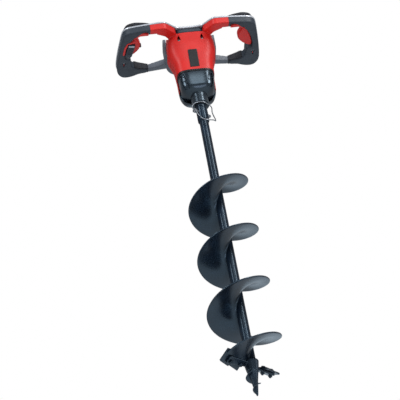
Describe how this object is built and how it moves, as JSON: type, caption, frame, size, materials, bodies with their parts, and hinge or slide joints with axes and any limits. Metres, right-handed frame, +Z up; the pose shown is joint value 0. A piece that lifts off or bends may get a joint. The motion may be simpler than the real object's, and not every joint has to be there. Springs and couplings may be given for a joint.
{
  "type": "auger",
  "caption": "Cordless hand-held auger: two-grip powerhead with triggers and a planetary drive, pinned to a spiral drill with bolted cutting blades and a screw point.",
  "frame": {"origin": "on the drill axis, midway between the two hand grips, in the handle plane", "axes": "+Z up along the drill axis, away from the point; +X to the right as seen from the front; -Y is the front, where the red arms join"},
  "size_m": [0.377, 0.2065, 1.0512],
  "materials": {
    "silver_trim": "satin silver moulded strip",
    "slate_plastic": "fine-grained slate-grey moulding",
    "soft_rubber": "matte black soft overmould",
    "screw_steel": "zinc-plated screw heads",
    "black_plastic": "satin black moulding",
    "red_plastic": "semi-gloss red moulding",
    "grey_plastic": "fine-grained grey moulding",
    "brass_terminal": "bright contact blades",
    "circuit_board": "green lacquered board",
    "gloss_black_case": "glossy black lacquered casting",
    "machined_steel": "machined and plated steel",
    "coated_steel": "glossy blue-black coated steel"
  },
  "bodies": {
    "powerhead": {"trim_strip": "silver_trim", "right_grip": "slate_plastic", "left_grip": "slate_plastic", "right_palm_cover": "soft_rubber", "left_palm_cover": "soft_rubber", "right_rear_sleeve": "soft_rubber", "left_rear_sleeve": "soft_rubber", "right_grip_screw": "screw_steel", "left_grip_screw": "screw_steel", "right_switch": "black_plastic", "left_switch": "black_plastic", "battery_dock": "grey_plastic", "terminal_block": "black_plastic", "left_terminal_blade": "brass_terminal", "right_terminal_blade": "brass_terminal", "controller_board": "circuit_board", "front_housing": "red_plastic", "nameplate": "black_plastic", "left_housing_screw": "screw_steel", "right_housing_screw": "screw_steel", "rear_housing": "grey_plastic", "gear_case": "gloss_black_case", "case_collar": "black_plastic", "motor_can": "machined_steel", "motor_stator": "machined_steel", "upper_motor_bearing": "machined_steel", "motor_flange": "machined_steel", "lower_motor_bearing": "machined_steel", "ring_gear": "machined_steel", "upper_output_bearing": "machined_steel", "lower_output_bearing": "machined_steel", "output_seal": "soft_rubber"},
    "auger": {"output_spindle": "machined_steel", "auger_sleeve": "coated_steel", "auger_tube": "coated_steel", "auger_flight": "coated_steel", "tip_boss": "coated_steel", "cutting_blade_1": "coated_steel", "cutting_blade_2": "coated_steel", "blade_bolt_1_1": "coated_steel", "blade_bolt_1_2": "coated_steel", "blade_bolt_2_1": "coated_steel", "blade_bolt_2_2": "coated_steel", "pilot_point": "coated_steel", "cross_pin": "machined_steel"},
    "rotor": {"motor_shaft": "machined_steel", "rotor_core": "machined_steel", "cooling_fan": "black_plastic"},
    "first_stage": {"first_carrier": "machined_steel"},
    "first_planet_1": {"first_planet_1": "machined_steel"},
    "first_planet_2": {"first_planet_2": "machined_steel"},
    "first_planet_3": {"first_planet_3": "machined_steel"},
    "second_planet_1": {"second_planet_1": "machined_steel"},
    "second_planet_2": {"second_planet_2": "machined_steel"},
    "second_planet_3": {"second_planet_3": "machined_steel"},
    "pin_bow": {"pin_bow": "machined_steel"},
    "right_trigger": {"right_trigger": "red_plastic"},
    "left_trigger": {"left_trigger": "red_plastic"},
    "lock_button": {"lock_button": "black_plastic"},
    "direction_slider": {"direction_slider": "slate_plastic"}
  },
  "joints": [
    {"name": "auger_spin", "type": "hinge", "parent": "powerhead", "child": "auger", "pos_m": [0, 0, -0.2], "axis": [0, 0, 1], "continuous": true},
    {"name": "rotor_spin", "type": "hinge", "parent": "powerhead", "child": "rotor", "pos_m": [0, 0, -0.08], "axis": [0, 0, 1], "continuous": true},
    {"name": "first_stage_spin", "type": "hinge", "parent": "powerhead", "child": "first_stage", "pos_m": [0, 0, -0.14], "axis": [0, 0, 1], "continuous": true},
    {"name": "first_planet_1_spin", "type": "hinge", "parent": "first_stage", "child": "first_planet_1", "pos_m": [0.0168, 0, -0.13], "axis": [0, 0, 1], "continuous": true},
    {"name": "first_planet_2_spin", "type": "hinge", "parent": "first_stage", "child": "first_planet_2", "pos_m": [-0.0084, 0.01455, -0.13], "axis": [0, 0, 1], "continuous": true},
    {"name": "first_planet_3_spin", "type": "hinge", "parent": "first_stage", "child": "first_planet_3", "pos_m": [-0.0084, -0.01455, -0.13], "axis": [0, 0, 1], "continuous": true},
    {"name": "second_planet_1_spin", "type": "hinge", "parent": "auger", "child": "second_planet_1", "pos_m": [0.0168, 0, -0.16], "axis": [0, 0, 1], "continuous": true},
    {"name": "second_planet_2_spin", "type": "hinge", "parent": "auger", "child": "second_planet_2", "pos_m": [-0.0084, 0.01455, -0.16], "axis": [0, 0, 1], "continuous": true},
    {"name": "second_planet_3_spin", "type": "hinge", "parent": "auger", "child": "second_planet_3", "pos_m": [-0.0084, -0.01455, -0.16], "axis": [0, 0, 1], "continuous": true},
    {"name": "pin_bow_hinge", "type": "hinge", "parent": "auger", "child": "pin_bow", "pos_m": [-0.01797, -0.01354, -0.243], "axis": [-0.3452, 0.4581, 0.8192], "range_deg": [-75, 0]},
    {"name": "right_trigger_slide", "type": "slide", "parent": "powerhead", "child": "right_trigger", "axis": [1, 0, 0], "range_m": [0, 0.005], "stiffness_N_per_m": 900, "springref_m": -0.002},
    {"name": "left_trigger_slide", "type": "slide", "parent": "powerhead", "child": "left_trigger", "axis": [-1, 0, 0], "range_m": [0, 0.005], "stiffness_N_per_m": 900, "springref_m": -0.002},
    {"name": "lock_button_slide", "type": "slide", "parent": "left_trigger", "child": "lock_button", "axis": [-1, 0, 0], "range_m": [0, 0.003], "stiffness_N_per_m": 400, "springref_m": -0.001},
    {"name": "direction_slide", "type": "slide", "parent": "powerhead", "child": "direction_slider", "axis": [0, 0.9848, 0.1736], "range_m": [-0.003, 0.003]}
  ],
  "couplings": [
    {"joint": "rotor_spin", "follows": "auger_spin", "ratio": 21.778},
    {"joint": "first_stage_spin", "follows": "auger_spin", "ratio": 4.6667},
    {"joint": "first_planet_1_spin", "follows": "auger_spin", "ratio": -12.833},
    {"joint": "first_planet_2_spin", "follows": "auger_spin", "ratio": -12.833},
    {"joint": "first_planet_3_spin", "follows": "auger_spin", "ratio": -12.833},
    {"joint": "second_planet_1_spin", "follows": "auger_spin", "ratio": -2.75},
    {"joint": "second_planet_2_spin", "follows": "auger_spin", "ratio": -2.75},
    {"joint": "second_planet_3_spin", "follows": "auger_spin", "ratio": -2.75}
  ]
}
